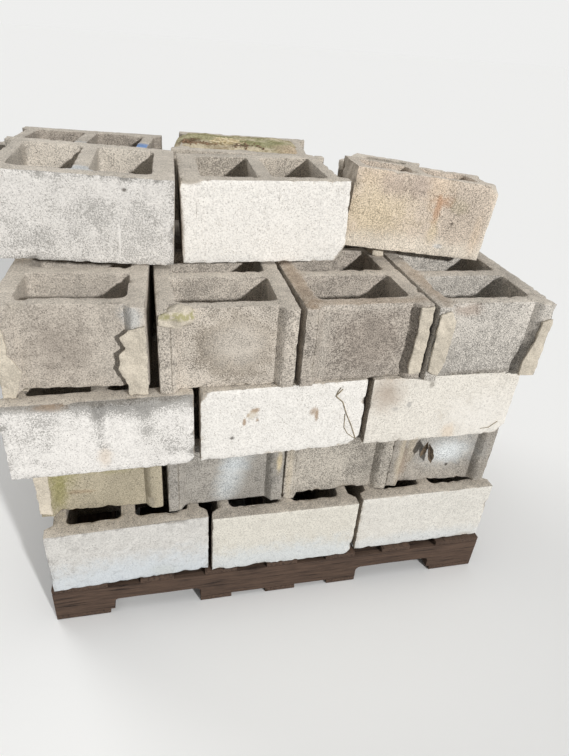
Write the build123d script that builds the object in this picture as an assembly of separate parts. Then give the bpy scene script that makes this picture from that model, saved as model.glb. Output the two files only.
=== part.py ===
"""A pallet of used concrete blocks: five dry-laid courses of 12 inch hollow block on a notched stringer pallet.

Sizes are in millimetres. X runs along the front of the stack, Y from the front to the back, Z up.
The origin is the centre of the pallet's underside. The front faces -Y.
"""
import os
from functools import cache
from math import cos, radians, sin, tan
from typing import NamedTuple

from build123d import *

INCH = 25.4

# Hollow block, nominal 12 x 8 x 16 inches, laid with its cells upright
BLOCK_LENGTH = 15.625 * INCH
BLOCK_WIDTH = 11.625 * INCH
BLOCK_HEIGHT = 7.625 * INCH
FACE_SHELL = 38.0  # long outer walls, at mid height
CENTRE_WEB = 32.0  # cross wall between the two cells
END_WEB = 29.0  # cross wall at each end, from the cell to the floor of the end recess
EAR_DEPTH = 19.0  # how far the ears of an open end stand out from the recess floor
EAR_FACE = 30.0  # flat face of an ear
EAR_FLANK = 14.0  # sloping side of an ear, seen from the end
CORE_TAPER = 1.0  # degrees a side: the mould's cores are wider at the bottom of the block
CORE_CORNER = 14.0  # corner radius of a cell
HIDDEN_CORNER = 9.0  # the same corner as a flat, in blocks that nothing shows the inside of

# Narrow hollow block, nominal 6 x 8 x 16 inches, and its half-length block
NARROW_WIDTH = 5.625 * INCH
NARROW_SHELL = 25.0
HALF_LENGTH = 7.625 * INCH

# Stringer pallet, 48 x 40 inches, its long side to the front
PALLET_LENGTH = 48.0 * INCH
PALLET_DEPTH = 40.0 * INCH
BOARD_THICKNESS = 0.625 * INCH
WIDE_BOARD = 5.5 * INCH
NARROW_BOARD = 3.5 * INCH
DECK_NARROW_COUNT = 5  # narrow deck boards between the two wide ones
BOTTOM_NARROW_COUNT = 3  # narrow bottom boards between the fork notches
STRINGER_THICKNESS = 1.5 * INCH
STRINGER_HEIGHT = 3.5 * INCH
STRINGER_COUNT = 3
NOTCH_LENGTH = 9.0 * INCH
NOTCH_HEIGHT = 1.5 * INCH
NOTCH_FOOT = 6.0 * INCH  # from the stringer's end to its notch
NOTCH_CORNER = 13.0

# How the stack is laid
ROW_GAP = 3.0  # between a row and the one behind it
HIDDEN_GAP = 4.0  # between neighbours in the rows that the front row hides
MORTAR_THICKNESS = 8.0  # old mortar left on the ends of reclaimed blocks
SOIL_DEPTH = 150.0  # soil and moss that has filled two open cells from the top down
SOIL_BELOW_TOP = 4.0

DECK_TOP = 2 * BOARD_THICKNESS + STRINGER_HEIGHT
STRETCHER = 0.0  # a block whose long side faces the front
END_ON = 90.0  # a block whose end faces the front


class Unit(NamedTuple):
    """The sizes that tell one kind of block from another."""

    length: float
    width: float
    shell: float
    cells: int


STANDARD = Unit(BLOCK_LENGTH, BLOCK_WIDTH, FACE_SHELL, 2)
NARROW = Unit(BLOCK_LENGTH, NARROW_WIDTH, NARROW_SHELL, 2)
HALF = Unit(HALF_LENGTH, NARROW_WIDTH, NARROW_SHELL, 1)
EARED, PLAIN, BROKEN = "eared", "plain", "broken"  # ends of a block; a broken end has lost its ears


def end_points(unit, sign, end):
    """Plan points down one end of a block, from its front corner to its back corner."""
    tip = sign * unit.length / 2
    floor = tip - sign * EAR_DEPTH
    half = unit.width / 2
    if end == PLAIN:
        return [(tip, -half), (tip, half)]
    if end == BROKEN:
        return [(floor, -half), (floor, half)]
    ear = half - EAR_FACE
    flank = ear - EAR_FLANK
    return [(tip, -half), (tip, -ear), (floor, -flank), (floor, flank), (tip, ear), (tip, half)]


def cell_size(unit):
    """Length and width of one cell at the block's mid height."""
    if unit.cells == 1:
        return unit.length - 2 * END_WEB, unit.width - 2 * unit.shell
    return unit.length / 2 - EAR_DEPTH - END_WEB - CENTRE_WEB / 2, unit.width - 2 * unit.shell


def core(unit, side, height=BLOCK_HEIGHT, start=0.0, rounded=True):
    """Tapered core that leaves a cell on one side (-1 or 1) of the centre web, between two heights."""
    length, width = cell_size(unit)
    spread = 2 * tan(radians(CORE_TAPER)) * (BLOCK_HEIGHT / 2 - start)
    solid = extrude(Rectangle(length + spread, width + spread), height, taper=CORE_TAPER)
    uprights = solid.edges().filter_by(lambda edge: abs(edge.tangent_at(0.5).Z) > 0.9)
    solid = fillet(uprights, CORE_CORNER) if rounded else chamfer(uprights, HIDDEN_CORNER)
    middle = side * (CENTRE_WEB + length) / 2 if unit.cells == 2 else 0
    return Pos(middle, 0, start) * solid


@cache
def hollow_block(unit=STANDARD, left=EARED, right=EARED, rounded=True):
    """One block, centred on its bottom face, its long sides facing -Y and +Y."""
    outline = make_face(Polyline(*end_points(unit, 1, right), *reversed(end_points(unit, -1, left)), close=True))
    body = extrude(outline, BLOCK_HEIGHT)
    for side in (-1, 1)[:unit.cells]:
        body -= core(unit, side, rounded=rounded)
    return body


def half_extents(kind, turn):
    """Half the width and half the depth of the box around a block that is turned by a few degrees."""
    angle = radians(kind + turn)
    along = abs(cos(angle))
    across = abs(sin(angle))
    half_width = (BLOCK_LENGTH * along + BLOCK_WIDTH * across) / 2
    half_depth = (BLOCK_LENGTH * across + BLOCK_WIDTH * along) / 2
    return half_width, half_depth


def lay_front_row(kind, shift, setbacks, gaps, turns):
    """Places of the front row, left to right: set back from the pallet's front edge, gaps from the left."""
    widths = [2 * half_extents(kind, turn)[0] for turn in turns]
    left = shift - (sum(widths) + sum(gaps)) / 2
    places = []
    for width, setback, gap, turn in zip(widths, setbacks, [*gaps, 0], turns):
        y = setback - PALLET_DEPTH / 2 + half_extents(kind, turn)[1]
        places.append((left + width / 2, y, kind, turn))
        left += width + gap
    return places


def lay_row_behind(front, kind, count):
    """Places of a straight row behind another row, centred on the pallet."""
    back = max(y + half_extents(k, turn)[1] for _, y, k, turn, *_ in front)
    half_width, half_depth = half_extents(kind, 0)
    pitch = 2 * half_width + HIDDEN_GAP
    y = back + ROW_GAP + half_depth
    return [((i - (count - 1) / 2) * pitch, y, kind, 0.0) for i in range(count)]


def course_base(course):
    """Height of the underside of a course, counted from 1."""
    return DECK_TOP + (course - 1) * BLOCK_HEIGHT


def location(course, place):
    """Where a block stands: its course and its place in it, and for a crooked block its lift, lean and roll."""
    x, y, kind, turn, *crooked = place
    lift, lean, roll = crooked or (0, 0, 0)
    middle = Pos(x, y, course_base(course) + lift + BLOCK_HEIGHT / 2)
    return middle * Rot(0, 0, kind + turn) * Rot(lean, 0, 0) * Rot(0, roll, 0) * Pos(0, 0, -BLOCK_HEIGHT / 2)


# Front rows as they stand: the gaps between the boxes around neighbours, set-backs and turns
COURSE_COUNT = 5
MORTAR_BED = 8.0  # mortar left under the left block of the fourth course, which lifts it
FRONT = {
    1: lay_front_row(STRETCHER, -1, (-5, 0, 12), (8, 12), (2.2, 0.0, 0.4)),
    2: lay_front_row(END_ON, -1, (61, 42, 47, 40), (2, 2, 3), (-0.8, 0.8, 0.2, -3.0)),
    3: lay_front_row(STRETCHER, -31, (-11, 2, 15), (2, 10), (1.2, 2.2, 0.5)),
    4: lay_front_row(END_ON, -17, (11, 2, 1, -7), (3, 4, 3), (-2.5, 0.0, 1.2, 0.3)),
    COURSE_COUNT: [
        (-452.0, -120.0, STRETCHER, -2.5, 19.0, 1.7, 2.3),
        (-41.0, -98.0, STRETCHER, -1.6, 4.6, 0.0, -1.3),
        (350.0, -155.0, STRETCHER, -4.1, 18.6, -1.1, 5.3),
    ],
}
FRONT[4][0] = (*FRONT[4][0], MORTAR_BED, 0, 0)
TOP_BACK = [(-480.0, 207.0, STRETCHER, -8.0), (-31.0, 235.0, STRETCHER, -8.0), (330.0, 40.0, STRETCHER, -40.0)]
BEHIND = {1: (STRETCHER, END_ON), 2: (STRETCHER, STRETCHER), 3: (STRETCHER, END_ON), 4: (STRETCHER, STRETCHER)}
ROW_COUNT = {STRETCHER: 3, END_ON: 4}
TOP_FRONT_BLOCKS = [(STANDARD, EARED, PLAIN), (STANDARD, PLAIN, EARED), (NARROW, BROKEN, EARED)]
TOP_BACK_BLOCKS = [(STANDARD, EARED, EARED), (STANDARD, EARED, EARED), (HALF, PLAIN, PLAIN)]
FILLED_PLACE = TOP_BACK[1]  # the block whose cells have filled with soil

# Mortar left on the bed faces, on which the crooked blocks stand: the top block it is under, the middle of
# the patch, its width and depth, and how far the block below it stands above its course
BEDS = [
    (FRONT[COURSE_COUNT][0], (-597.0, -180.0), (34.0, 100.0), MORTAR_BED),
    (FRONT[COURSE_COUNT][0], (-289.0, -180.0), (30.0, 80.0), 0.0),
    (FRONT[COURSE_COUNT][1], (11.0, -150.0), (30.0, 90.0), 0.0),
    (FRONT[COURSE_COUNT][2], (269.0, -155.0), (34.0, 80.0), 0.0),
]
BED_RISE = 60.0  # more than any of these patches is thick
LOW_BED = [(-120.0, -150.0), (120.0, -150.0)]  # under the lifted block: middles of the patches, from its middle
LOW_BED_SIZE = (40.0, 60.0)

# Old mortar on the ends of blocks that stand end-on: the outline seen from the front, from the block's
# middle to the right and up from its underside, kept on the ear
EAR_OUT = BLOCK_WIDTH / 2 - 1
EAR_IN = BLOCK_WIDTH / 2 - EAR_FACE - 4
TOP = BLOCK_HEIGHT
MORTAR = [
    (4, 0, [(-EAR_OUT, -MORTAR_BED), (-EAR_IN - 8, -MORTAR_BED), (-EAR_IN + 8, 32), (-EAR_IN + 16, 54),
            (-EAR_IN + 4, 76), (-EAR_IN - 6, 96), (-EAR_IN - 8, 154), (-EAR_OUT, 158)]),
    (4, 0, [(EAR_OUT, -MORTAR_BED), (EAR_OUT, 157), (EAR_IN, 149), (EAR_IN - 22, 130), (EAR_IN - 11, 105),
            (EAR_IN - 25, 90), (EAR_IN - 27, 55), (EAR_IN - 12, 18), (EAR_IN - 10, -MORTAR_BED)]),
    (4, 1, [(-EAR_OUT, 166), (-EAR_IN + 12, 158), (-EAR_IN + 28, 172), (-EAR_IN + 32, TOP + 4),
            (-EAR_IN + 10, TOP + 8), (-EAR_OUT, TOP - 3)]),
    (4, 2, [(EAR_IN, 16), (EAR_OUT, 20), (EAR_OUT, TOP - 2), (EAR_IN - 2, TOP - 4), (EAR_IN, 120), (EAR_IN - 5, 45)]),
    (4, 3, [(-EAR_OUT, 30), (-EAR_IN - 4, 16), (-EAR_IN + 8, 50), (-EAR_IN + 13, 120), (-EAR_IN + 12, 162),
            (-EAR_IN - 4, 184), (-EAR_OUT, 176)]),
    (4, 3, [(EAR_IN - 12, 6), (EAR_OUT, 2), (EAR_OUT, 160), (EAR_IN + 6, 150), (EAR_IN + 2, 95), (EAR_IN - 14, 46)]),
    (2, 0, [(-EAR_OUT, 20), (-EAR_IN - 4, 12), (-EAR_IN, 150), (-EAR_OUT, TOP - 8)]),
]


def block_row(course, places, rounded=False):
    """Standard blocks of one row as separate solids."""
    return [location(course, place) * hollow_block(rounded=rounded) for place in places]


def top_row(places, blocks):
    """Blocks of a row of the top course, each of its own kind."""
    return [location(COURSE_COUNT, place) * hollow_block(*block) for place, block in zip(places, blocks)]


def bed_patch(place, middle, size, below):
    """Mortar under a crooked top block, from the block below up to its underside."""
    patch = Pos(*middle, course_base(COURSE_COUNT) + below + BED_RISE / 2) * Box(*size, BED_RISE)
    block = Pos(0, 0, BLOCK_HEIGHT / 2) * Box(BLOCK_LENGTH, BLOCK_WIDTH, BLOCK_HEIGHT)
    return (patch - location(COURSE_COUNT, place) * block).solids().sort_by(Axis.Z)[0]


def low_bed_patch(middle):
    """Mortar under the lifted block of the fourth course."""
    x, y, _, turn, *_ = FRONT[4][0]
    patch = Pos(*middle, MORTAR_BED / 2) * Box(*LOW_BED_SIZE, MORTAR_BED)
    return Pos(x, y, course_base(4)) * Rot(0, 0, turn) * patch


def mortar_patch(course, index, outline):
    """A slab of old mortar on the front end of an end-on block of the front row."""
    x, y, _, turn, *crooked = FRONT[course][index]
    lift = crooked[0] if crooked else 0
    face = Plane.XZ.offset(BLOCK_LENGTH / 2) * make_face(Polyline(*outline, close=True))
    return Pos(x, y, course_base(course) + lift) * Rot(0, 0, turn) * extrude(face, MORTAR_THICKNESS)


def stringer(y):
    """A notched runner, its two fork notches cut up from the underside."""
    side = Plane.XZ * Pos(0, BOARD_THICKNESS + STRINGER_HEIGHT / 2) * Rectangle(PALLET_LENGTH, STRINGER_HEIGHT)
    for sign in (-1, 1):
        centre = sign * (PALLET_LENGTH / 2 - NOTCH_FOOT - NOTCH_LENGTH / 2)
        notch = Pos(centre, BOARD_THICKNESS) * Rectangle(NOTCH_LENGTH, 2 * NOTCH_HEIGHT)
        side -= Plane.XZ * fillet(notch.vertices(), NOTCH_CORNER)
    return Pos(0, y + STRINGER_THICKNESS / 2, 0) * extrude(side, STRINGER_THICKNESS)


def board(x, width, base):
    """A board that runs from the front of the pallet to the back."""
    return Pos(x, 0, base + BOARD_THICKNESS / 2) * Box(width, PALLET_DEPTH, BOARD_THICKNESS)


def spread_boards(span, count, width):
    """Centres of boards spaced evenly inside a span, with an equal gap at each side."""
    gap = (span - count * width) / (count + 1)
    return [(i + 0.5) * width + (i + 1) * gap - span / 2 for i in range(count)]


def boards(base, centres):
    """Wide boards at the two ends and narrow boards between them."""
    edge = (PALLET_LENGTH - WIDE_BOARD) / 2
    wide = [board(x, WIDE_BOARD, base) for x in (-edge, edge)]
    return wide + [board(x, NARROW_BOARD, base) for x in centres]


def export(name, solids):
    """Write one named sub-part as a STEP file."""
    export_step(Compound(label=name, children=list(solids)), f"parts/{name}.step")


def main():
    os.makedirs("parts", exist_ok=True)
    for course in range(1, COURSE_COUNT):
        front = FRONT[course]
        middle = lay_row_behind(front, BEHIND[course][0], ROW_COUNT[BEHIND[course][0]])
        back = lay_row_behind(middle, BEHIND[course][1], ROW_COUNT[BEHIND[course][1]])
        export(f"course_{course}_front_blocks", block_row(course, front, rounded=True))
        export(f"course_{course}_middle_blocks", block_row(course, middle))
        export(f"course_{course}_back_blocks", block_row(course, back))
    export(f"course_{COURSE_COUNT}_front_blocks", top_row(FRONT[COURSE_COUNT], TOP_FRONT_BLOCKS))
    export(f"course_{COURSE_COUNT}_back_blocks", top_row(TOP_BACK, TOP_BACK_BLOCKS))
    filled = location(COURSE_COUNT, FILLED_PLACE)
    base = BLOCK_HEIGHT - SOIL_BELOW_TOP - SOIL_DEPTH
    export("soil_in_cells", [filled * core(STANDARD, side, SOIL_DEPTH, base) for side in (-1, 1)])
    patches = [mortar_patch(*patch) for patch in MORTAR] + [bed_patch(*patch) for patch in BEDS]
    export("mortar_remnants", patches + [low_bed_patch(middle) for middle in LOW_BED])

    step = (PALLET_DEPTH - STRINGER_THICKNESS) / (STRINGER_COUNT - 1)
    export("stringers", [stringer((i - (STRINGER_COUNT - 1) / 2) * step) for i in range(STRINGER_COUNT)])
    deck_span = PALLET_LENGTH - 2 * WIDE_BOARD
    deck = spread_boards(deck_span, DECK_NARROW_COUNT, NARROW_BOARD)
    export("deck_boards", boards(BOARD_THICKNESS + STRINGER_HEIGHT, deck))
    middle_span = PALLET_LENGTH - 2 * (NOTCH_FOOT + NOTCH_LENGTH)
    edge = (middle_span - NARROW_BOARD) / 2
    count = BOTTOM_NARROW_COUNT
    bottom = [edge * (2 * i / (count - 1) - 1) for i in range(count)]
    export("bottom_boards", boards(0.0, bottom))


if __name__ == "__main__":
    main()
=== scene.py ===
"""The finished look of a pallet of reclaimed concrete blocks.

Sizes are in metres, in the frame of the solid model.
"""
from collections import namedtuple
from contextlib import contextmanager
from math import cos, pi, radians, sin, tan
from random import Random

import bmesh
import bpy
import numpy as np
from mathutils import Matrix, Vector, noise
from mathutils.kdtree import KDTree


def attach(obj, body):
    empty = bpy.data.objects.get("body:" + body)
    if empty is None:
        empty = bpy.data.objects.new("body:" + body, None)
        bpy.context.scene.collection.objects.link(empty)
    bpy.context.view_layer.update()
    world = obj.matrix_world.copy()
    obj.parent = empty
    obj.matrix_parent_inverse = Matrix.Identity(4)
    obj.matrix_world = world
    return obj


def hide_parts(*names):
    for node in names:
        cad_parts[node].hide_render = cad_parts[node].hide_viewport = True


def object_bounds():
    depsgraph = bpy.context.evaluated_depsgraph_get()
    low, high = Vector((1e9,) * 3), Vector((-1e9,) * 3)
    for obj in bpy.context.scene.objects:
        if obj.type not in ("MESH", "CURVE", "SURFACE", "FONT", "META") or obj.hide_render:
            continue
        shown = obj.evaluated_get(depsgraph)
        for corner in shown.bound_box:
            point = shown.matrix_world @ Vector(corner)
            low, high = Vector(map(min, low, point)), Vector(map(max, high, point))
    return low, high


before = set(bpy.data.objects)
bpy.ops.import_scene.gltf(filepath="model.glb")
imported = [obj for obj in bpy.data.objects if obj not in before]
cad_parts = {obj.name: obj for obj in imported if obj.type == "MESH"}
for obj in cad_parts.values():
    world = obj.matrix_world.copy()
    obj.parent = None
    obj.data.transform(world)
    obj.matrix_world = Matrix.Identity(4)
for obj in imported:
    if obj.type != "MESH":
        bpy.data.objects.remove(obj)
solid_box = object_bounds()

INCH = 0.0254
TINY = 1e-5

# The hollow blocks: length, width, thickness of the long outer walls, and number of cells
Unit = namedtuple("Unit", "length width shell cells")
STANDARD = Unit(15.625 * INCH, 11.625 * INCH, 0.038, 2)
NARROW = Unit(15.625 * INCH, 5.625 * INCH, 0.025, 2)
HALF = Unit(7.625 * INCH, 5.625 * INCH, 0.025, 1)
EARED, PLAIN, BROKEN = "eared", "plain", "broken"  # ends of a block; a broken end has lost its ears
BLOCK_HEIGHT = 7.625 * INCH
CENTRE_WEB = 0.032
END_WEB = 0.029
EAR_DEPTH = 0.019
EAR_FACE = 0.030
EAR_FLANK = 0.014
CORE_SLOPE = tan(radians(1.0))
CORE_CORNER = 0.014
CORE_OVER = 0.01  # how far a core stands out of its block above and below
ARRIS = 0.003  # first cut of the mesh beside an edge, where the edge wears round
FINE = 0.0085  # mesh spacing of a block that shows
COARSE = 0.024  # mesh spacing of a block in the middle of the stack
WELD = 0.0003  # vertices of a block nearer than this become one
SHARP_EDGE = 28  # an edge that turns by more degrees than this wears round

# Wear of the blocks: how far each kind reaches from an edge, and how deep the deepest of it goes
ROUND_REACH = 0.006
CHIP_REACH = 0.012
CHIP_DEPTH = 0.0042
BITE_REACH = 0.016
BITE_DEPTH = 0.006
PALE_REACH = 0.014  # how far from an edge the paint is thinner

# Meshes of the mortar and the soil: spacing, and how far the lumps stand out
MORTAR_MESH = 0.0028
MORTAR_BULGE = 0.0034
SOIL_MESH = 0.006
SOIL_BULGE = 0.004
SOIL_COVER = 0.012

# What lies on the soil
STRAWS = 44
STRAW_RADIUS = 0.0009
CRUMBS = 46

# Pallet wood: bevels, cuts along a piece, and depth of the worn grain
BOARD_BEVEL = 0.0018
BOARD_CUTS = 48
STRINGER_BEVEL = 0.0016
STRINGER_CUTS = 60
WOOD_RELIEF = 0.0007

# Sizes in the look of concrete, from wide patches down to grit
PATCH = 0.13
BLOTCH = 0.028
PORE_GROUP = 0.012
SPECK = 0.0055
PORE = 0.0044
PEBBLE = 0.0042
GRIT = 0.0029

# The photograph's viewpoint: where the camera stands and how it is turned, in degrees
CAMERA_PLACE = (-0.3152, -1.5413, 1.3876)
CAMERA_YAW = 14.92
CAMERA_PITCH = 31.61
CAMERA_ROLL = -4.91
FOCAL_PIXELS = 565.6
PICTURE_HEIGHT = 756
SENSOR = 36

# Light: each lamp's strength, its width in degrees and the way it shines, then the world and the floor
LAMPS = {
    "key": (2.9, 3, (-0.9, 1.9, -0.78)),
    "sky": (0.6, 50, (0, 0, -1)),
    "fill": (1.3, 35, (0.7, -1.0, -0.45)),
}
WORLD_LIGHT = 0.28
BACKGROUND = 0.86
FLOOR_SHOWN = 0.914
FLOOR_LIGHT = 0.35
FLOOR_WIDTH = 120
FLOOR_DROP = 0.0005


def linear(red, green, blue):
    """A colour read from 0 to 255, as the linear colour that a shader takes."""
    parts = [v / 255 for v in (red, green, blue)]
    return tuple(v / 12.92 if v <= 0.04045 else ((v + 0.055) / 1.055) ** 2.4 for v in parts) + (1.0,)


def scaled(colour, factor):
    """A colour made lighter or darker."""
    return tuple(v * factor for v in colour[:3]) + (1.0,)


def sum_with(operation, reflected=False):
    """A method of Signal that does one sum with another signal or a number."""
    def method(self, other):
        pair = {0: other, 1: self} if reflected else {0: self, 1: other}
        return self.nodes.node("ShaderNodeMath", {"operation": operation}, pair)
    return method


class Signal:
    """A number, a vector or a colour on its way through a node tree."""

    def __init__(self, nodes, socket):
        self.nodes = nodes
        self.socket = socket

    __add__ = __radd__ = sum_with("ADD")
    __sub__ = sum_with("SUBTRACT")
    __rsub__ = sum_with("SUBTRACT", reflected=True)
    __mul__ = __rmul__ = sum_with("MULTIPLY")
    __truediv__ = sum_with("DIVIDE")
    __pow__ = sum_with("POWER")
    larger = sum_with("MAXIMUM")

    def band(self, low, high):
        """Rises smoothly from 0 at low to 1 at high, or falls where low is above high."""
        sockets = {"Value": self, "From Min": low, "From Max": high}
        return self.nodes.node("ShaderNodeMapRange", {"interpolation_type": "SMOOTHSTEP"}, sockets)


class Nodes:
    """The nodes of a material or of the world."""

    def __init__(self, owner):
        owner.use_nodes = True
        self.tree = owner.node_tree
        self.tree.nodes.clear()

    def node(self, kind, settings=None, sockets=None, out=0):
        """Adds one node: its settings, then its sockets, linked or set. Returns one of its outputs."""
        made = self.tree.nodes.new(kind)
        for key, value in (settings or {}).items():
            setattr(made, key, value)
        for key, value in (sockets or {}).items():
            if isinstance(value, Signal):
                self.tree.links.new(value.socket, made.inputs[key])
            else:
                made.inputs[key].default_value = value
        return Signal(self, made.outputs[out]) if made.outputs else None

    def mix(self, factor, first, second, blend="MIX"):
        settings = {"data_type": "RGBA", "blend_type": blend, "clamp_factor": True}
        return self.node("ShaderNodeMix", settings, {0: factor, 6: first, 7: second}, out=2)

    def seen(self):
        """1 for what the camera sees itself, in a gloss or through glass, and 0 for light."""
        path = self.node("ShaderNodeLightPath").socket.node.outputs
        rays = [Signal(self, path[f"Is {kind} Ray"]) for kind in ("Camera", "Glossy", "Transmission")]
        return rays[0].larger(rays[1]).larger(rays[2])

    def end(self, shader, output, sockets):
        """Ends the nodes in a shader and its output."""
        self.node(output, sockets={"Surface": self.node(shader, sockets=sockets)})


class Finish(Nodes):
    """A material in the making."""

    def __init__(self, name):
        self.material = bpy.data.materials.new(name)
        super().__init__(self.material)
        self.where = self.node("ShaderNodeTexCoord", out="Object")
        split = self.node("ShaderNodeSeparateXYZ", sockets={0: self.attribute("spot", out="Vector")})
        self.spot = [Signal(self, output) for output in split.socket.node.outputs]

    def attribute(self, name, out="Fac"):
        return self.node("ShaderNodeAttribute", {"attribute_name": name}, out=out)

    def noise(self, size, detail=2.0, roughness=0.5, where=None):
        """Smooth noise around 0.5, with features of the given size."""
        where = where or self.where
        sockets = {"Vector": where, "Scale": 1 / size, "Detail": detail, "Roughness": roughness}
        return self.node("ShaderNodeTexNoise", sockets=sockets)

    def cells(self, size):
        """Distance to the nearest of scattered points, which lie about this size apart."""
        return self.node("ShaderNodeTexVoronoi", sockets={"Vector": self.where, "Scale": 1 / size})

    def stretched(self, along):
        """Object coordinates with each axis scaled, for a pattern that runs along one of them."""
        return self.node("ShaderNodeMapping", sockets={"Vector": self.where, "Scale": along})

    def spread(self, patch, wander, speckle):
        """How strongly a patch lies at each place, its outline broken up by two noises."""
        across, up, depth = self.spot
        side = (across - patch.across) / patch.wide
        rise = ((up if patch.on == "front" else depth) - patch.up) / patch.high
        far = (side * side + rise * rise) ** 0.5
        far = far + wander * (2.6 * patch.ragged) + speckle * (2 * patch.ragged)
        return far.band(1.0 + patch.soft, 1.0 - patch.soft) * self.attribute(patch.on) * patch.strength

    def stained(self, colour, stains, wander, speckle, grain):
        """Lays stains over a colour; the grain, a grey around 1, keeps the texture in them."""
        for stain in (Stain(*row) for row in stains):
            tint = self.mix(1.0, grain, stain.colour, "MULTIPLY")
            colour = self.mix(self.spread(stain, wander, speckle), colour, tint)
        return colour

    def close(self, colour, roughness, height, relief=0.5, depth=0.002):
        """Ends the material in its shader, with the bump that the height gives."""
        sockets = {"Strength": relief, "Distance": depth, "Height": height}
        bump = self.node("ShaderNodeBump", sockets=sockets)
        sockets = {"Base Color": colour, "Roughness": roughness, "Normal": bump, "Specular IOR Level": 0.25}
        self.end("ShaderNodeBsdfPrincipled", "ShaderNodeOutputMaterial", sockets)
        return self.material


# Colours
BARE = linear(182, 173, 160)
BARE_PALE = linear(196, 188, 176)
BARE_DARK = linear(160, 151, 140)
WHITE_PAINT = linear(240, 236, 229)
WORN_PAINT = linear(238, 234, 228)
FRESH_BREAK = linear(192, 184, 170)
# Pale dust on the tops, which also paints light onto upper faces
DUST_AND_TOP_LIGHT = linear(206, 197, 184)
SPRAY_BLUE = linear(88, 132, 190)
MORTAR_CREAM = linear(208, 198, 181)
# Dark grey-brown for grime and cracks, and for one painted shadow line at a block's foot
GRIME_AND_SHADE = linear(112, 104, 92)
RUST = linear(184, 140, 106)
ALGAE = linear(146, 142, 84)
PALE_BLUE = linear(200, 212, 222)
YELLOWED = linear(216, 198, 160)
SPRAY_WHITE = linear(214, 220, 222)
GREY_WEAR = linear(158, 155, 152)
WHITE_WEAR = linear(240, 236, 230)
TAN = linear(198, 184, 160)
BROWN_DUST = linear(150, 122, 92)
MUD = linear(146, 112, 72)
DARK_SPOT = linear(70, 62, 54)
PALE_BAND = linear(230, 220, 204)
PEACH = linear(218, 196, 170)
MOSS = linear(150, 150, 104)
# Weathered wood, darker in part as painted shade: the pallet stands low under the stack
WOOD_DARK = linear(60, 48, 41)
WOOD_LIGHT = linear(92, 74, 62)

# A patch on a block: its middle from the block's middle and underside, how far it reaches each way, and
# its look. On the top face, "upper", the second measure runs back from the front edge.
Stain = namedtuple(
    "Stain", "across up wide high colour strength ragged on soft", defaults=(0.7, 0.5, "front", 0.6))


def seam(across):
    """A thin dark line down an end of a block, at the given place across it."""
    return Stain(across, 0.09, 0.0018, 0.1, GRIME_AND_SHADE, 0.6, 0.2)


def dark_and_pale(colour, swing):
    """The darkest and the palest grain of concrete, which swing about its colour."""
    return scaled(colour, 0.955 - 0.395 * swing), scaled(colour, 0.955 + 0.395 * swing)


def block_finish(name, bare=BARE, paint=None, under=BARE, hold=0.62, mottle=0.5, swing=1.0, patchy=1.0,
                 stains=(), worn=()):
    """Open-textured concrete, with a coat of old paint on the front where paint is given.

    under is the concrete that shows through the coat. hold is how much of the coat is left, from
    about 0.5 for half gone to 0.7 for whole. swing is how strongly the grain shows, and patchy how
    strongly the palm-sized patches do. Each of stains is a row of Stain's parts, and each of worn is where
    the paint has worn thin: across, up, wide, high and by how much.
    """
    finish = Finish(name)
    broad = finish.noise(PATCH, 3.0)
    middle = 0.5 + (finish.noise(BLOTCH, 3.0, 0.6) - 0.5) * patchy
    grit = finish.noise(GRIT, 2.0, 0.8)
    front, upper, edge, chipped = (finish.attribute(key) for key in ("front", "upper", "edge", "chipped"))
    pits = finish.cells(PORE).band(0.36, 0.16) * finish.noise(PORE_GROUP).band(0.42, 0.6)
    tone = grit * (0.8 - 0.3 * mottle) + middle * (0.08 + 0.15 * mottle) + broad * (0.12 + 0.15 * mottle)
    light = tone.band(0.405, 0.595)
    colour = finish.mix(light, *dark_and_pale(bare, swing))
    # Upper faces are mixed toward a paler colour: partly dust, partly painted light from above
    dust_and_top_light = finish.mix(light, scaled(DUST_AND_TOP_LIGHT, 0.72), scaled(DUST_AND_TOP_LIGHT, 1.15))
    colour = finish.mix(upper * (0.45 + broad * 0.5), colour, dust_and_top_light)
    # Pores are darkened: painted shade inside the holes, which the mesh shows only as a dip in the bump
    colour = finish.mix(pits * (0.75 * min(swing, 1.2)), colour, scaled(bare, 0.3))
    fresh = finish.mix(grit, scaled(FRESH_BREAK, 0.75), FRESH_BREAK)
    colour = finish.mix(chipped * 0.5, colour, fresh)
    height = grit * 0.6 + middle * 0.25 - pits * 0.9
    roughness = 0.93
    # The grain is darker at the pores too, with the same painted shade
    grain = finish.mix(light * (1 - pits * 0.6), *dark_and_pale((1, 1, 1), 0.75 * swing))
    if paint:
        colour = finish.mix(front, colour, finish.mix(light, *dark_and_pale(under, swing)))
        thin = grit * 0.55 + middle * 0.27 + broad * 0.18 + edge * 0.05 + chipped * 0.16
        for *place, strength in worn:
            patch = Stain(*place, None, strength, 0.25, soft=0.9)
            thin = thin + finish.spread(patch, middle - 0.5, grit - 0.5)
        cover = front * thin.band(hold + 0.035, hold - 0.035)
        specks = finish.cells(SPECK).band(0.26, 0.1) * finish.noise(0.03).band(0.42, 0.6)
        pebbled = (grit * 0.4 + finish.noise(PEBBLE, 2.0, 0.7) * 0.6).band(0.38, 0.56)
        coat = finish.mix(pebbled, scaled(paint, 1 - 0.18 * swing), scaled(paint, 1.05))
        dull = (middle * 0.4 + grit * 0.6).band(0.46, 0.66) * mottle * 0.9
        coat = finish.mix(dull, coat, scaled(paint, 0.7))
        cover = cover * (1 - specks * 0.85)
        colour = finish.mix(cover, colour, coat)
        height = height + cover * 0.25
        roughness = 0.93 - cover * 0.2
        grain = finish.mix(cover, grain, (1, 1, 1, 1))
    colour = finish.stained(colour, stains, middle - 0.5, grit - 0.5, grain)
    return finish.close(colour, roughness, height, 0.7, 0.0026)


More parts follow.
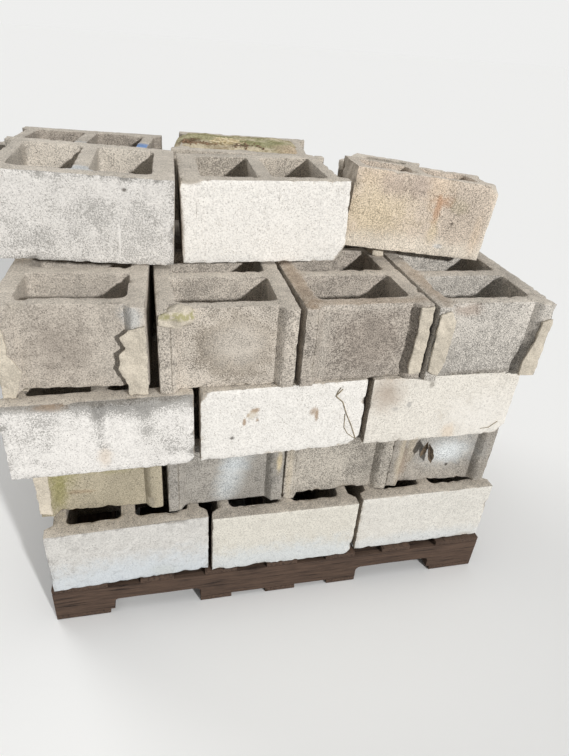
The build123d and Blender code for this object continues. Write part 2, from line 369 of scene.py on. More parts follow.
def mortar_finish():
    """Cream mortar, with moss where the mesh says so."""
    finish = Finish("old_mortar")
    broad = finish.noise(0.06, 3.0)
    grit = finish.noise(0.003, 2.0, 0.7)
    tone = (grit * 0.6 + broad * 0.4).band(0.36, 0.62)
    colour = finish.mix(tone, scaled(MORTAR_CREAM, 0.72), scaled(MORTAR_CREAM, 1.1))
    green = finish.attribute("moss") * finish.noise(0.008, 2.0).band(0.3, 0.6)
    colour = finish.mix(green * 0.7, colour, ALGAE)
    return finish.close(colour, 0.94, grit * 0.5 + finish.noise(0.012, 3.0) * 0.7, 0.6, 0.003)


def wood_finish(name, along):
    """Weathered softwood with its grain along one axis: 0 for X or 1 for Y. Its colours are darkened in
    part as painted shade.
    """
    finish = Finish(name)
    scale = [16.0, 16.0, 16.0]
    scale[along] = 0.9
    grain_place = finish.stretched(scale)
    grain = finish.noise(1 / 9, 5.0, 0.65, grain_place)
    fibre = finish.noise(1 / 42, 3.0, 0.6, grain_place)
    blotch = finish.noise(0.11, 3.0)
    tone = grain * 0.55 + fibre * 0.25 + blotch * 0.2
    colour = finish.mix(tone.band(0.36, 0.62), WOOD_DARK, WOOD_LIGHT)
    checks = grain.band(0.4, 0.33)
    colour = finish.mix(checks * 0.7, colour, scaled(WOOD_DARK, 0.35))
    colour = finish.mix(blotch.band(0.55, 0.72) * 0.45, colour, scaled(WOOD_DARK, 0.6))
    return finish.close(colour, 0.85, grain * 0.6 + fibre * 0.4 - checks * 0.8, 0.7, 0.003)


def plain_finish(name, low, high, size, roughness=0.9):
    """A finish that wanders between two colours at one size, for small things."""
    finish = Finish(name)
    wander = finish.noise(size, 3.0, 0.6)
    return finish.close(finish.mix(wander.band(0.38, 0.62), low, high), roughness, wander)


def take(piece):
    """Selects one object alone and makes it the active one."""
    bpy.ops.object.select_all(action="DESELECT")
    piece.select_set(True)
    bpy.context.view_layer.objects.active = piece


def each(items, key, width=3):
    """One property of every vertex or face, as rows or, at width 1, as a list of numbers."""
    flat = np.empty(len(items) * width)
    items.foreach_get(key, flat)
    return flat.reshape(-1, width) if width > 1 else flat


def points(piece):
    """The places of a piece's vertices."""
    return each(piece.data.vertices, "co")


def outward(piece):
    """The normals of a piece's vertices."""
    return each(piece.data.vertices, "normal")


def extent(piece):
    """The lowest and the highest corner of a piece."""
    places = points(piece)
    return places.min(0), places.max(0)


def reshape(piece, places):
    """Moves a piece's vertices to these places."""
    piece.data.vertices.foreach_set("co", np.asarray(places, float).ravel())
    piece.data.update()


def write(piece, key, values):
    """Writes a number or a vector on every vertex, for the piece's finish."""
    kind, field = ("FLOAT", "value") if values.ndim == 1 else ("FLOAT_VECTOR", "vector")
    piece.data.attributes.new(key, kind, "POINT").data.foreach_set(field, values.ravel())


def held(values):
    """Values held between 0 and 1."""
    return np.clip(values, 0, 1)


def within(places):
    """Places kept inside the solid model's box."""
    return np.clip(places, *solid_box)


@contextmanager
def edited(piece, chosen=None):
    """Edit mode with everything selected, or the vertices that a test on their places chooses."""
    take(piece)
    bpy.context.tool_settings.mesh_select_mode = (True, False, False)
    mesh = piece.data
    marks = np.ones(len(mesh.vertices), bool) if chosen is None else chosen(points(piece))
    for items in (mesh.polygons, mesh.edges):
        items.foreach_set("select", np.zeros(len(items), bool))
    mesh.vertices.foreach_set("select", marks)
    bpy.ops.object.mode_set(mode="EDIT")
    yield
    bpy.ops.object.mode_set(mode="OBJECT")


def cut_planes(piece, planes):
    """Cuts edges into the whole mesh along planes, each a distance and an axis number."""
    with edited(piece):
        for distance, axis in planes:
            along = [0.0, 0.0, 0.0]
            along[axis] = 1.0
            bpy.ops.mesh.select_all(action="SELECT")
            bpy.ops.mesh.bisect(plane_co=[distance * a for a in along], plane_no=along)


def even_cuts(low, high, count, axis):
    """Planes that cut one axis between two ends into this many equal parts."""
    return [(low + (high - low) * i / count, axis) for i in range(1, count)]


def settle(name):
    """Names the active object and puts its place, turn and size into its mesh."""
    bpy.ops.object.transform_apply(location=True, rotation=True, scale=True)
    bpy.context.object.name = name
    return bpy.context.object


def new_box(name, size, middle):
    """A box primitive at its size and place, with its object at the origin."""
    bpy.ops.object.select_all(action="DESELECT")
    bpy.ops.mesh.primitive_cube_add(size=1, location=middle, scale=size)
    return settle(name)


def new_bit(name, kind, place, size, turn):
    """A small thing from a primitive: a lump or a stalk."""
    stance = {"radius": 1, "location": place, "rotation": turn, "scale": size}
    if kind == "stalk":
        bpy.ops.mesh.primitive_cylinder_add(vertices=5, depth=1, **stance)
    else:
        bpy.ops.mesh.primitive_ico_sphere_add(subdivisions=2, **stance)
    return settle(name)


def use_modifier(piece, kind, **settings):
    """Adds a modifier, sets it and applies it."""
    take(piece)
    modifier = piece.modifiers.new(kind.title(), kind)
    for key, value in settings.items():
        setattr(modifier, key, value)
    bpy.ops.object.modifier_apply(modifier=modifier.name)


def ripple(places, size, seed):
    """Smooth noise from about -1 to 1 at each place, with features of the given size."""
    shift = Vector((seed * 3.71, seed * 1.93, seed * 2.37))
    return np.array([noise.noise(Vector(p) / size + shift) for p in places])


def smooth(piece, angle=40):
    """Shades the piece smooth, except across sharp edges."""
    take(piece)
    bpy.ops.object.shade_smooth_by_angle(angle=radians(angle))


def new_core(unit, side):
    """The tapered core that leaves one cell: on one side of the centre web, or in the middle."""
    length = unit.length - 2 * END_WEB
    along = 0
    if unit.cells == 2:
        length = unit.length / 2 - EAR_DEPTH - END_WEB - CENTRE_WEB / 2
        along = side * (CENTRE_WEB + length) / 2
    width = unit.width - 2 * unit.shell
    spread = CORE_SLOPE * BLOCK_HEIGHT
    middle = (along, 0, BLOCK_HEIGHT / 2)
    core = new_box("core", (length, width, BLOCK_HEIGHT + 2 * CORE_OVER), middle)
    for level, grow in ((0, spread), (BLOCK_HEIGHT, -spread)):
        factors = ((length + grow) / length, (width + grow) / width, 1)
        with edited(core, lambda p: abs(p[:, 2] - level) < CORE_OVER + TINY):
            bpy.ops.transform.resize(value=factors, center_override=middle)
    with edited(core):
        bpy.ops.mesh.select_all(action="DESELECT")
    ends = points(core)
    for line in core.data.edges:
        low, high = (ends[i][2] for i in line.vertices)
        line.select = abs(high - low) > BLOCK_HEIGHT / 2
    bpy.context.tool_settings.mesh_select_mode = (False, True, False)
    bpy.ops.object.mode_set(mode="EDIT")
    bpy.ops.mesh.bevel(offset=CORE_CORNER, segments=4)
    bpy.ops.object.mode_set(mode="OBJECT")
    return core


def spaced(low, high, spacing):
    """Cut places between two ends: close beside each end, then evenly."""
    near = [low + ARRIS, high - ARRIS]
    count = max(1, round((high - low - 2 * ARRIS) / spacing))
    return near + [low + ARRIS + (high - low - 2 * ARRIS) * i / count for i in range(1, count)]


def new_block(unit, left, right, spacing):
    """One block, modelled about its own middle: its ends, tapered cells and an even mesh to wear down."""
    block = new_box("block", (unit.length, unit.width, BLOCK_HEIGHT), (0, 0, BLOCK_HEIGHT / 2))
    ear = unit.width / 2 - EAR_FACE
    flank = ear - EAR_FLANK
    cut_planes(block, [(y, 1) for y in (-ear, -flank, flank, ear)])
    for sign, end in ((-1, left), (1, right)):
        if end == PLAIN:
            continue
        reach = unit.width if end == BROKEN else flank
        face = unit.length / 2 - TINY
        with edited(block, lambda p: (sign * p[:, 0] > face) & (abs(p[:, 1]) < reach + TINY)):
            bpy.ops.transform.translate(value=(-sign * EAR_DEPTH, 0, 0))
    for side in (-1, 1)[:unit.cells]:
        core = new_core(unit, side)
        use_modifier(block, "BOOLEAN", object=core, operation="DIFFERENCE", solver="EXACT")
        bpy.data.objects.remove(core)
    planes = [(x, 0) for x in spaced(-unit.length / 2, unit.length / 2, spacing)]
    planes += [(y, 1) for y in spaced(-unit.width / 2, unit.width / 2, spacing)]
    planes += [(z, 2) for z in spaced(0, BLOCK_HEIGHT, spacing)]
    cut_planes(block, planes)
    with edited(block):
        bpy.ops.mesh.remove_doubles(threshold=WELD)
        bpy.ops.mesh.quads_convert_to_tris()
        bpy.ops.mesh.normals_make_consistent(inside=False)
    return block


def arris_distance(piece):
    """How far each vertex lies from the nearest outward edge of the piece."""
    work = bmesh.new()
    work.from_mesh(piece.data)
    work.verts.ensure_lookup_table()
    sharp = set()
    for line in work.edges:
        if len(line.link_faces) == 2 and line.is_convex and line.calc_face_angle() > radians(SHARP_EDGE):
            sharp.update(v.index for v in line.verts)
    tree = KDTree(len(sharp))
    for number, index in enumerate(sorted(sharp)):
        tree.insert(work.verts[index].co, number)
    tree.balance()
    distances = np.array([tree.find(v.co)[2] for v in work.verts])
    work.free()
    return distances


class Place:
    """Where a block lies, read from its solid: its own three directions and the middle of its underside."""

    def __init__(self, solid, unit=STANDARD, left=EARED, right=EARED):
        self.unit = unit
        self.ends = (left, right)
        facing = each(solid.data.polygons, "normal")
        area = each(solid.data.polygons, "area", 1)
        under = facing[:, 2] < -0.9
        up = -(facing[under] * area[under][:, None]).sum(0)
        up /= np.linalg.norm(up)
        back = facing[np.argmax(np.where(abs(facing[:, 2]) < 0.3, area, 0))]
        self.end_on = abs(back[0]) > abs(back[1])
        back = back * np.sign(-back[0] if self.end_on else back[1])
        back = back - up * (back @ up)
        back /= np.linalg.norm(back)
        self.axes = np.column_stack([np.cross(back, up), back, up])
        reach = points(solid) @ self.axes
        low, high = reach.min(0), reach.max(0)
        along = high[0] - unit.length / 2 if left == BROKEN else (low[0] + high[0]) / 2
        self.middle = self.axes @ np.array([along, (low[1] + high[1]) / 2, low[2]])
        self.half = (unit.length if self.end_on else unit.width) / 2

    def to_stack(self, local):
        """Places in the stack of places on the block."""
        return local @ self.axes.T + self.middle

    def to_block(self, places):
        """Places on the block of places in the stack."""
        return (places - self.middle) @ self.axes

    def to_front(self, local):
        """Across from the middle, up from the underside and depth from the front, of places on a block."""
        x, y, z = local.T
        across, depth = (-y, x) if self.end_on else (x, y)
        return np.column_stack([across, z, depth + self.half])

    def from_front(self, across, up, depth):
        """The reverse of to_front for a direction."""
        return np.array([depth, -across, up] if self.end_on else [across, depth, up])

    def front_point(self, across, up, depth=0.0):
        """A place on the block from its front, in the stack."""
        return Vector(self.to_stack(self.from_front(across, up, depth - self.half)[None, :])[0])


def solids_of(node):
    """A copy of each separate solid of a CAD node, from left to right."""
    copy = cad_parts[node].copy()
    copy.data = copy.data.copy()
    bpy.context.collection.objects.link(copy)
    copy.hide_viewport = False
    with edited(copy):
        bpy.ops.mesh.remove_doubles(threshold=TINY)
        bpy.ops.mesh.separate(type="LOOSE")
    return sorted(bpy.context.selected_objects, key=lambda part: points(part)[:, 0].mean())


def discard(pieces):
    for piece in pieces:
        bpy.data.objects.remove(piece)


def wear_down(local, near, seed):
    """How deep each vertex sinks in waves, worn edges, chips and bites, and how chipped it is."""
    wave = 0.0005 * ripple(local, 0.09, seed) + 0.00035 * ripple(local, 0.016, seed + 1)
    edge = held(1 - near / ROUND_REACH) ** 1.4
    rounding = edge * (0.001 + 0.0018 * held(ripple(local, 0.02, seed + 2) + 0.35))
    chips = held((ripple(local, 0.013, seed + 3) - 0.24) / 0.3) * held(1 - near / CHIP_REACH)
    bites = held((ripple(local, 0.04, seed + 4) - 0.42) / 0.2) * held(1 - near / BITE_REACH)
    return wave + (rounding + CHIP_DEPTH * chips + BITE_DEPTH * bites), held(chips + 1.5 * bites)


def break_corner(local, corner, normal, depth, seed):
    """Cuts what lies beyond a rough slanting plane near a corner. Returns the new places and what moved."""
    normal = normal / np.linalg.norm(normal)
    rough = 0.0022 * ripple(local, 0.012, seed) + 0.004 * ripple(local, 0.035, seed + 4)
    beyond = (local - corner) @ normal + depth + rough
    moved = beyond > 0
    places = local - normal * np.where(moved, beyond, 0)[:, None]
    return places, moved


def lay_block(masters, place, name, seed, spacing, breaks=()):
    """A worn block in its place in the stack, with what its finish needs written on its mesh.

    Each break is a corner or edge point on the front (across, up, depth), the way it faces, and its depth.
    """
    kind = (place.unit, *place.ends, spacing)
    if kind not in masters:
        block = new_block(*kind)
        masters[kind] = (block, arris_distance(block))
    master, near = masters[kind]
    piece = bpy.data.objects.new(name, master.data.copy())
    bpy.context.collection.objects.link(piece)
    local = points(piece)
    out = outward(piece)
    spot = place.to_front(local)
    facing_front = out @ place.from_front(0, 0, -1)
    sink, chipped = wear_down(local, near, seed)
    if BROKEN in place.ends:
        torn = (local[:, 0] < EAR_DEPTH + 0.001 - place.unit.length / 2) & (out[:, 0] < -0.5)
        ragged = 0.006 * (1 + ripple(local, 0.03, seed + 5)) + 0.003 * ripple(local, 0.009, seed + 6)
        sink = np.where(torn, ragged - 0.003, sink)
        chipped = np.where(torn, 1.0, chipped)
    places = local - out * sink[:, None]
    for number, (corner, facing, depth) in enumerate(breaks):
        middle = place.from_front(corner[0], corner[1], corner[2] - place.half)
        places, moved = break_corner(places, middle, place.from_front(*facing), depth, seed + 7 * number)
        chipped = np.where(moved, 1.0, chipped)
    write(piece, "front", held((facing_front - 0.15) * 2.2) * (spot[:, 2] < 0.03))
    write(piece, "upper", held((out[:, 2] - 0.3) * 2))
    write(piece, "chipped", chipped)
    write(piece, "edge", held(1 - near / PALE_REACH))
    write(piece, "spot", spot)
    reshape(piece, within(place.to_stack(places)))
    smooth(piece, 50)
    return piece


def dress(piece, material, slot, *nodes):
    """Gives a finished piece its material and its part in the model."""
    piece.data.materials.clear()
    piece.data.materials.append(material)
    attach(piece, "root")
    if nodes:
        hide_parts(*nodes)
    return piece


def join(pieces, name):
    """Joins pieces into one."""
    take(pieces[0])
    for piece in pieces:
        piece.select_set(True)
    bpy.ops.object.join()
    pieces[0].name = name
    return pieces[0]


# Front blocks: finish and breaks of each, by course and place from the left
LEFT, RIGHT, FOOT, TOP = -STANDARD.length / 2, STANDARD.length / 2, 0.0, BLOCK_HEIGHT
SIDE = STANDARD.width / 2
GREY_BARE = linear(152, 149, 144)
FRONT_LOOKS = {
    # The bottom course's paint is a little darker than the white higher up: in part painted shade, for the
    # dimmer light low in the stack
    (1, 0): dict(under=GREY_BARE, paint=linear(214, 211, 205), hold=0.6, mottle=0.6, swing=1.2, stains=[
        (0.0, 0.0, 0.3, 0.08, PALE_BLUE, 0.5), (0.08, 0.02, 0.035, 0.02, ALGAE, 0.12, 0.8)]),
    (1, 1): dict(paint=linear(225, 220, 208), hold=0.63, swing=1.6, stains=[
        (0.0, 0.0, 0.3, 0.07, PALE_BLUE, 0.45)]),
    (1, 2): dict(paint=linear(226, 222, 213), hold=0.64, swing=1.4, stains=[
        (0.15, 0.0, 0.03, 0.014, TAN, 0.6, 0.8), (0.0, 0.0, 0.3, 0.04, PALE_BLUE, 0.3)]),
    (2, 0): dict(bare=linear(180, 170, 148), mottle=0.4, swing=0.65, patchy=0.7, stains=[
        (-0.1, 0.07, 0.018, 0.06, ALGAE, 0.6, 0.7), (-0.085, 0.12, 0.03, 0.04, ALGAE, 0.4, 0.8),
        (0.03, 0.135, 0.06, 0.02, ALGAE, 0.35, 0.8), (-0.05, 0.06, 0.03, 0.006, BROWN_DUST, 0.4, 0.9)]),
    (2, 1): dict(bare=linear(157, 152, 144), stains=[
        (0.028, 0.13, 0.03, 0.035, SPRAY_WHITE, 0.55, 0.5, "front", 0.9),
        (0.013, 0.085, 0.026, 0.055, SPRAY_WHITE, 0.5, 0.5, "front", 0.9),
        (-0.008, 0.03, 0.022, 0.05, SPRAY_WHITE, 0.35, 0.5, "front", 0.9),
        (0.134, 0.13, 0.007, 0.03, YELLOWED, 0.7, 0.6), seam(-0.121)]),
    (2, 2): dict(bare=linear(174, 167, 156), swing=1.3, stains=[
        (-0.136, 0.09, 0.01, 0.08, TAN, 0.5, 0.6), seam(-0.119)]),
    (2, 3): dict(bare=linear(168, 161, 151), stains=[
        (0.025, 0.115, 0.075, 0.05, SPRAY_WHITE, 0.4, 0.5, "front", 0.9),
        (0.027, 0.1, 0.045, 0.03, linear(232, 236, 236), 0.8, 0.5, "front", 0.8),
        (-0.118, 0.1, 0.012, 0.09, TAN, 0.6, 0.7), (-0.085, 0.13, 0.012, 0.05, TAN, 0.5, 0.7),
        (-0.104, 0.06, 0.014, 0.05, linear(160, 142, 124), 0.6, 0.7),
        (0.031, 0.055, 0.004, 0.005, DARK_SPOT, 0.9, 0.4)]),
    (3, 0): dict(under=GREY_BARE, paint=WORN_PAINT, hold=0.585, mottle=0.5, patchy=0.8, stains=[
        (0.0, 0.194, 0.25, 0.014, GRIME_AND_SHADE, 0.5, 0.9), (-0.095, 0.186, 0.03, 0.01, BROWN_DUST, 0.5, 0.9),
        (0.002, 0.045, 0.014, 0.025, PEACH, 0.4, 0.8)], worn=[
        (0.0, 0.192, 0.3, 0.02, 0.09), (0.09, 0.172, 0.1, 0.026, 0.075),
        (-0.003, 0.11, 0.013, 0.075, 0.085), (0.091, 0.125, 0.017, 0.032, 0.085),
        (0.143, 0.075, 0.045, 0.04, 0.08), (-0.124, 0.118, 0.045, 0.035, 0.07),
        (-0.03, 0.16, 0.12, 0.02, 0.05)]),
    (3, 1): dict(paint=WHITE_PAINT, hold=0.64, swing=1.2, stains=[
        (-0.097, 0.104, 0.003, 0.008, MUD, 0.7, 1.0), (-0.089, 0.121, 0.004, 0.004, MUD, 0.6, 1.2),
        (-0.073, 0.133, 0.01, 0.006, MUD, 0.75, 1.2), (-0.067, 0.106, 0.003, 0.004, MUD, 0.6, 1.0),
        (-0.079, 0.122, 0.012, 0.01, TAN, 0.5, 1.0), (-0.125, 0.06, 0.005, 0.005, DARK_SPOT, 0.8, 0.5),
        (0.07, 0.117, 0.008, 0.009, MUD, 0.6, 0.8), (0.078, 0.105, 0.004, 0.014, MUD, 0.7, 0.8)]),
    (3, 2): dict(paint=linear(236, 230, 219), hold=0.615, swing=1.5, stains=[
        (0.12, 0.06, 0.09, 0.06, WHITE_PAINT, 0.5, 0.5, "front", 0.9),
        (-0.16, 0.15, 0.035, 0.045, linear(172, 156, 140), 0.75, 0.6, "front", 0.9),
        (-0.094, 0.113, 0.006, 0.008, GREY_WEAR, 0.6, 0.9),
        (-0.13, 0.104, 0.01, 0.006, GREY_WEAR, 0.45, 0.9), (-0.045, 0.171, 0.006, 0.008, GRIME_AND_SHADE, 0.5, 0.9),
        (0.034, 0.023, 0.02, 0.02, PEACH, 0.5, 0.8)]),
    (4, 0): dict(bare=linear(188, 179, 167), swing=0.75, stains=[
        (-0.03, 0.1, 0.06, 0.07, linear(156, 146, 135), 0.7, 0.7, "front", 0.8),
        (0.085, 0.07, 0.03, 0.06, BARE_PALE, 0.4, 0.6, "front", 0.8),
        (0.12, 0.17, 0.02, 0.03, SPRAY_WHITE, 0.4, 0.6)]),
    (4, 1): dict(bare=linear(187, 178, 166), swing=1.15, stains=[
        (0.014, 0.1, 0.085, 0.078, linear(156, 144, 128), 0.6, 0.5, "front", 0.35),
        (0.022, 0.105, 0.055, 0.052, linear(196, 188, 177), 0.7, 0.5, "front", 0.5), seam(-0.121)]),
    (4, 2): dict(bare=linear(171, 162, 151), swing=1.25, stains=[
        (0.012, 0.095, 0.078, 0.075, linear(150, 139, 128), 0.6, 0.5, "front", 0.35),
        (-0.095, 0.1, 0.01, 0.09, BARE_PALE, 0.45, 0.6), (0.0, 0.186, 0.1, 0.008, BARE_PALE, 0.4, 0.6),
        (0.0, 0.03, 0.16, 0.02, BROWN_DUST, 0.35, 0.9, "upper"),
        (-0.13, 0.14, 0.022, 0.16, BROWN_DUST, 0.5, 0.6, "upper"), seam(-0.119)]),
    (4, 3): dict(bare=linear(194, 188, 179), swing=1.15, stains=[
        (-0.061, 0.176, 0.03, 0.014, linear(158, 140, 126), 0.6, 0.7),
        # Painted shadow: a dark line along the foot, under a slight lip
        (0.0, 0.006, 0.1, 0.008, GRIME_AND_SHADE, 0.5, 0.5),
        (-0.122, 0.13, 0.022, 0.13, BROWN_DUST, 0.4, 0.6, "upper")]),
    (5, 0): dict(bare=BARE_PALE, under=GREY_BARE, paint=linear(230, 226, 220), hold=0.548, mottle=0.7,
                 patchy=0.5, stains=[
        (0.08, 0.065, 0.0022, 0.045, WHITE_WEAR, 0.7, 0.3),
        (0.093, 0.167, 0.005, 0.004, DARK_SPOT, 0.8, 0.4),
        (0.0, 0.05, 0.05, 0.016, PALE_BLUE, 0.5, 0.6, "upper")], worn=[
        (0.037, 0.12, 0.03, 0.025, 0.05), (-0.063, 0.081, 0.06, 0.03, 0.02),
        (-0.036, 0.045, 0.06, 0.025, 0.035), (-0.125, 0.034, 0.05, 0.03, 0.05),
        (0.145, 0.071, 0.03, 0.05, 0.04), (0.0, 0.17, 0.2, 0.02, -0.03)]),
    (5, 1): dict(paint=linear(243, 239, 232), hold=0.655, mottle=0.3, swing=1.2, stains=[
        (-0.174, 0.192, 0.018, 0.007, BARE, 0.9, 0.7), (-0.197, 0.08, 0.004, 0.07, BARE_DARK, 0.8, 0.8),
        (-0.163, 0.128, 0.0014, 0.018, GRIME_AND_SHADE, 0.35, 0.5),
        (0.028, 0.158, 0.0014, 0.02, GRIME_AND_SHADE, 0.25, 0.5)]),
    (5, 2): dict(bare=linear(201, 187, 171), mottle=0.3, stains=[
        (-0.115, 0.09, 0.085, 0.08, linear(228, 210, 176), 0.6, 0.7, "front", 0.8),
        (-0.14, 0.18, 0.06, 0.02, PEACH, 0.3, 0.8),
        (-0.079, 0.162, 0.035, 0.03, linear(178, 162, 150), 0.65, 0.8),
        (-0.01, 0.168, 0.035, 0.03, linear(178, 162, 150), 0.65, 0.8),
        (0.04, 0.17, 0.03, 0.05, PEACH, 0.5, 0.8), (0.055, 0.138, 0.022, 0.015, RUST, 0.5, 0.9),
        (0.047, 0.115, 0.009, 0.034, RUST, 0.6, 0.8), (0.05, 0.054, 0.014, 0.035, YELLOWED, 0.4, 0.8),
        (0.104, 0.132, 0.02, 0.018, ALGAE, 0.2, 0.8), (0.0, 0.006, 0.3, 0.036, PALE_BAND, 0.8, 0.7),
        (0.2, 0.1, 0.01, 0.12, PALE_BAND, 0.6, 0.7), (0.17, 0.06, 0.012, 0.05, PEACH, 0.4, 0.8),
        (0.075, 0.027, 0.012, 0.005, linear(222, 219, 214), 0.8, 0.4),
        (0.097, 0.088, 0.004, 0.004, DARK_SPOT, 0.8, 0.4)]),
}
BREAKS = {
    (1, 1): [((RIGHT, FOOT, 0), (1, -1, -1), 0.012)],
    (3, 1): [((RIGHT, FOOT, 0), (1, -1, -1), 0.02), ((LEFT, TOP, 0), (-1, 1, -1), 0.014)],
    (3, 0): [((RIGHT, FOOT, 0), (1, -1, -1), 0.01)],
    (3, 2): [((RIGHT, FOOT, 0), (1, -1, -1), 0.016)],
    (4, 0): [((SIDE, FOOT, 0), (1, -1, -1), 0.01)],
    (5, 1): [((LEFT + 0.02, TOP, 0), (-0.3, 1, -1), 0.007), ((RIGHT, FOOT, 0), (1, -0.7, -1), 0.018)],
    (5, 2): [((RIGHT, TOP, 0), (0.8, 1, -0.6), 0.016), ((LEFT, FOOT, 0), (-1, -1, -1), 0.006)],
}

# Dry stems on the third course: the block that each clings to, its thickness, and its path across and up
VINES = {
    "vine_a": (1, 0.0011, [(0.135, 0.173), (0.12, 0.155), (0.14, 0.136), (0.153, 0.102), (0.171, 0.064),
                           (0.188, 0.022)]),
    "vine_b": (1, 0.0008, [(0.15, 0.1), (0.153, 0.06), (0.164, 0.04), (0.186, 0.022)]),
    "vine_c": (1, 0.0009, [(0.12, 0.155), (0.124, 0.168), (0.13, 0.178)]),
    "vine_d": (2, 0.0008, [(0.128, 0.021), (0.151, 0.022), (0.173, 0.04)]),
}
VINE_GAP = 0.0015  # from a block's front to the middle of a stem
LEAF_THICKNESS = 0.0007

# Kinds of the top course's blocks, from the left
TOP_KINDS = {
    "front": [(STANDARD, EARED, PLAIN), (STANDARD, PLAIN, EARED), (NARROW, BROKEN, EARED)],
    "back": [(STANDARD, EARED, EARED), (STANDARD, EARED, EARED), (HALF, PLAIN, PLAIN)],
}

# What each row adds to the seed of its blocks
ROW_SEEDS = {"front": 0, "middle": 101, "back": 211}


def build_blocks():
    """Every block of the stack, in its row."""
    common = block_finish("bare_concrete", mottle=0.7)
    sprayed = block_finish("sprayed_concrete", BARE_DARK, stains=[
        (0.08, 0.07, 0.12, 0.04, PALE_BLUE, 0.6, 0.6, "upper"),
        (0.165, 0.1, 0.035, 0.035, SPRAY_BLUE, 0.85, 0.6, "upper")])
    masters = {}
    places = {}
    for node in sorted(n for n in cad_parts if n.endswith("_blocks")):
        course = int(node.split("_")[1])
        row = node.split("_")[2]
        solids = solids_of(node)
        kinds = TOP_KINDS[row] if course == 5 else [()] * len(solids)
        laid = [Place(solid, *kind) for solid, kind in zip(solids, kinds)]
        discard(solids)
        places[(course, row)] = laid
        made = []
        for index, place in enumerate(laid):
            key = (course, index)
            spacing = FINE if row == "front" or course == 5 else COARSE
            seed = 17 * course + 5 * index + ROW_SEEDS[row]
            breaks = BREAKS.get(key, ()) if row == "front" else ()
            name = node.replace("_blocks", f"_block_{index + 1}")
            piece = lay_block(masters, place, name, seed, spacing, breaks)
            if row == "front":
                material = block_finish(name + "_finish", **FRONT_LOOKS[key])
                slot = "painted_concrete" if course in (1, 3, 5) else "concrete"
                dress(piece, material, slot, node)
            elif course == 5:
                dress(piece, sprayed if index == 0 else common, "concrete", node)
            else:
                made.append(piece)
        if made:
            dress(join(made, node.replace("_blocks", "_row")), common, "concrete", node)
    discard(block for block, _ in masters.values())
    return places


def lump_up(piece, grain, bulge, seed):
    """Turns a plain solid into a lump: an even mesh, rounded off and roughened."""
    use_modifier(piece, "REMESH", mode="VOXEL", voxel_size=grain)
    p = points(piece)
    rough = bulge * ripple(p, 0.024, seed) + 0.5 * bulge * ripple(p, 0.009, seed + 1) - 0.4 * bulge
    reshape(piece, p + outward(piece) * rough[:, None])
    use_modifier(piece, "SMOOTH", factor=0.5, iterations=1)
    reshape(piece, within(points(piece)))
    smooth(piece, 60)


def build_mortar(places):
    """Lumpy slabs of old mortar on the ends of blocks and in the beds under the crooked ones."""
    finish = mortar_finish()
    lumps = solids_of("mortar_remnants")
    capped = places[(4, "front")][1]
    top = capped.front_point(-0.1, BLOCK_HEIGHT - 0.013, 0.012)
    cap = new_bit("cap", "lump", top, (0.031, 0.027, 0.026), (0, 0, 0))
    below = min(lumps, key=lambda part: (Vector(points(part).mean(0)) - top).length)
    join([below, cap], below.name)
    for number, lump in enumerate(lumps):
        lump_up(lump, MORTAR_MESH, MORTAR_BULGE, 31 + number * 3)
        spot = capped.to_front(capped.to_block(points(lump)))
        near = (abs(spot[:, 2]) < 0.04) & (abs(spot[:, 0]) < SIDE)
        line = BLOCK_HEIGHT - 0.006 + 0.004 * ripple(spot, 0.02, 7)
        write(lump, "moss", np.where(near, held(1.8 - abs(spot[:, 1] - line) / 0.006), 0))
    dress(join(lumps, "old_mortar"), finish, "mortar", "mortar_remnants")


def new_mound(low, high, seed):
    """A thin uneven cover on top of a block, between two corners, and the places of its vertices."""
    size = (high[0] - low[0], high[1] - low[1], SOIL_COVER)
    middle = ((low[0] + high[0]) / 2, (low[1] + high[1]) / 2, BLOCK_HEIGHT - SOIL_COVER / 2)
    mound = new_box("mound", size, middle)
    cut_planes(mound, even_cuts(low[0], high[0], 70, 0) + even_cuts(low[1], high[1], 46, 1))
    p = points(mound)
    flat = p * (1, 1, 0)
    inside = np.minimum(p[:, :2] - low, high - p[:, :2]).min(1)
    rise = 0.004 + 0.004 * ripple(flat, 0.05, seed) + 0.003 * ripple(flat, 0.014, seed + 1)
    rise = rise + 0.0015 * ripple(flat, 0.006, seed + 2) - 0.014 * held(1 - inside / 0.03)
    p[:, 2] += np.where(p[:, 2] > BLOCK_HEIGHT - TINY, rise, 0)
    return mound, p


def write_spot(piece, place, local):
    """Writes where the piece lies on its block, for stains on its upper side."""
    write(piece, "spot", place.to_front(local))
    write(piece, "upper", np.ones(len(local)))


def soil_finish():
    """Dry soil and moss."""
    finish = Finish("soil_and_moss")
    broad = finish.noise(0.05, 3.0)
    fine = finish.noise(0.006, 3.0, 0.7)
    tone = (broad * 0.5 + fine * 0.5).band(0.4, 0.6)
    colour = finish.mix(tone, linear(140, 124, 98), linear(204, 192, 166))
    stains = [(*patch, "upper") for patch in (
        (-0.12, 0.2, 0.1, 0.09, MOSS, 0.6, 0.6),
        (0.07, 0.15, 0.09, 0.08, linear(132, 138, 88), 0.65, 0.8),
        (-0.155, 0.12, 0.03, 0.03, linear(96, 70, 48), 0.8, 0.9),
        (-0.115, 0.09, 0.06, 0.02, linear(120, 88, 58), 0.7, 0.9),
        (-0.005, 0.08, 0.03, 0.02, linear(84, 62, 44), 0.8, 0.9),
        (-0.06, 0.12, 0.035, 0.035, linear(214, 198, 150), 0.7, 0.8),
        (0.145, 0.09, 0.05, 0.05, linear(206, 184, 160), 0.6, 0.7))]
    grain = finish.mix(fine.band(0.38, 0.62), (0.6, 0.6, 0.6, 1), (1.25, 1.25, 1.25, 1))
    colour = finish.stained(colour, stains, broad - 0.5, fine - 0.5, grain)
    return finish.close(colour, 0.97, fine * 0.7 + broad * 0.3, 0.9, 0.004)


